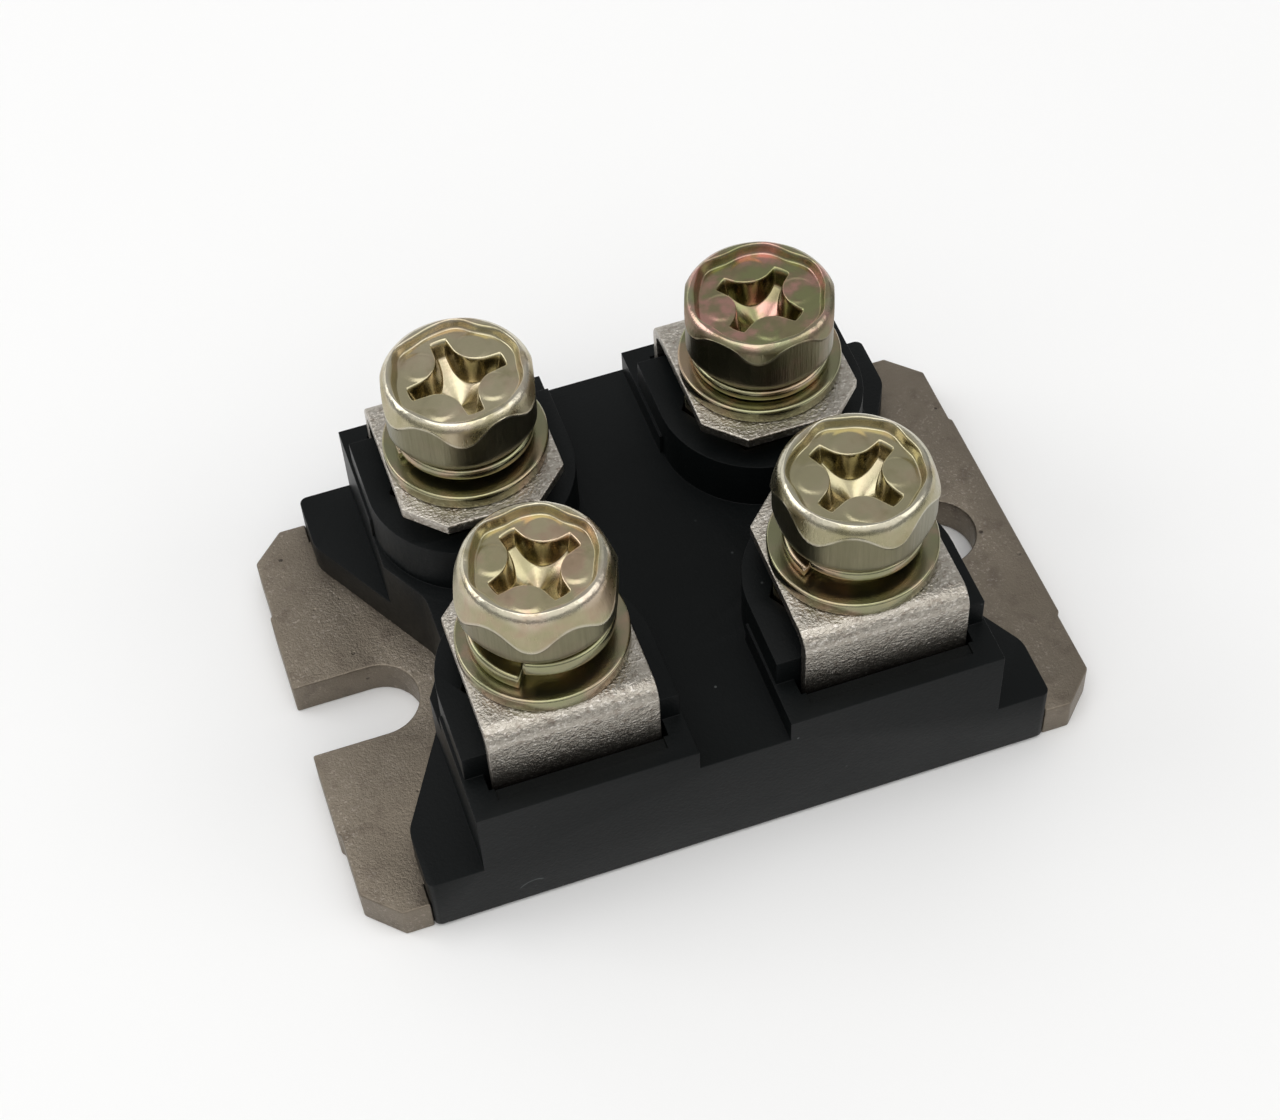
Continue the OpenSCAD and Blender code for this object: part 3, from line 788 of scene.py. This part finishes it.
def studio_sky():
    """World light: a soft grey room, lighter overhead, with a broad pale panel high up behind the camera and
    a low window opposite."""
    world = bpy.data.worlds.new("studio_sky")
    world.use_nodes = True
    bpy.context.scene.world = world
    room = Graph(world.node_tree)
    y, z = room.split(room.node("ShaderNodeTexCoord", output="Generated"))[1:]
    air = room.blend(room.step(z, *SKY_RISE), SKY_LEVEL, SKY_TOP)
    panel = room.step(y, *PANEL_BEHIND) * room.step(z, *PANEL_ABOVE)
    window = room.step(y, *WINDOW_AHEAD) * room.step(z, *WINDOW_LOWER) * room.step(z, *WINDOW_UPPER)
    lit = room.blend(window, room.blend(panel, air, SKY_PANEL), SKY_WINDOW)
    connect(room.tree, room.tree.nodes["Background"].inputs["Color"], lit)


moulding = black_moulding()
plating = nickel_plate()
tin = tinned_sheet()
screw_zinc = {corner: yellow_zinc("yellow_zinc_" + corner, *SCREW_ZINC[corner]) for corner in CORNERS}
washer_zinc = yellow_zinc("yellow_zinc_washers", *WASHER_ZINC)
copper = bare_metal("bare_copper", COPPER_DARK, COPPER_LIGHT, 0.3)
silicon = bare_metal("metallised_silicon", SILICON_DARK, SILICON_LIGHT, 0.2)
ceramic = white_ceramic()

dress(softened("moulded_housing", "housing", HOUSING_EDGE), "housing", moulding)
dress(softened("plated_base", "base_plate", PLATE_EDGE), "base_plate", plating)

for corner in CORNERS:
    terminal = softened("bent_terminal_" + corner, "terminal_" + corner, TERMINAL_EDGE)
    dress(terminal, "terminal_" + corner, tin)

    low, high = box_mm("flat_washer_" + corner)
    axis = np.append((low[:2] + high[:2]) / 2, 0)
    washer = flat_washer_points(high[2] - low[2]) + axis + (0, 0, low[2])
    piece = surface("plain_washer_" + corner, washer, wrap_rows=True, wrap_columns=True)
    dress(piece, "flat_washer_" + corner, washer_zinc)

    spring_foot = high[2]
    spring = spring_washer_points(corner) + axis + (0, 0, spring_foot)
    piece = surface("split_washer_" + corner, spring, wrap_rows=True)
    dress(piece, "spring_washer_" + corner, washer_zinc)

    head_foot = spring_foot + SPRING_HEIGHT[corner]
    tip = box_mm("screw_" + corner)[0]
    screw, marks = screw_points(corner, head_foot - tip[2])
    screw = screw + axis + (0, 0, head_foot)
    piece = surface("terminal_screw_" + corner, screw, wrap_columns=True, marks=marks)
    dress(piece, "screw_" + corner, screw_zinc[corner])

    low, high = box_mm("nut_" + corner)
    nut = nut_points(high[2] - low[2]) + axis + (0, 0, low[2])
    piece = surface("captive_nut_" + corner, nut, wrap_rows=True, wrap_columns=True)
    dress(piece, "nut_" + corner, washer_zinc)

for side in SIDES:
    for node in ("cathode_pad_", "anode_pad_", "top_clip_"):
        coat(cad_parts[node + side].data, copper)
    coat(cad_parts["diode_die_" + side].data, silicon)
coat(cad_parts["ceramic_substrate"].data, ceramic)

floor_mesh = bpy.data.meshes.new("floor")
floor_corners = [(x * FLOOR_HALF, y * FLOOR_HALF, 0) for x, y in ((-1, -1), (1, -1), (1, 1), (-1, 1))]
floor_mesh.from_pydata(floor_corners, [], [(0, 1, 2, 3)])
floor_mesh.materials.append(pale_floor())
floor = placed("floor", floor_mesh)

studio_sky()
for name, (place, size, power) in LAMPS.items():
    soft_lamp(name, place, size, power)

camera_data = bpy.data.cameras.new("camera")
camera_data.sensor_fit = "HORIZONTAL"
camera_data.sensor_width = CAMERA_SENSOR
camera_data.lens = CAMERA_LENS
camera_data.clip_start = CAMERA_CLIP_START
camera = placed("camera", camera_data)
turn = Matrix.Rotation(math.radians(-CAMERA_HEADING), 4, "Z")
tilt = Matrix.Rotation(math.radians(90 - CAMERA_DOWN), 4, "X")
roll = Matrix.Rotation(math.radians(-CAMERA_ROLL), 4, "Z")
camera.matrix_world = Matrix.Translation(CAMERA_PLACE) @ turn @ tilt @ roll
bpy.context.scene.camera = camera
bpy.context.scene.view_settings.view_transform = "Standard"
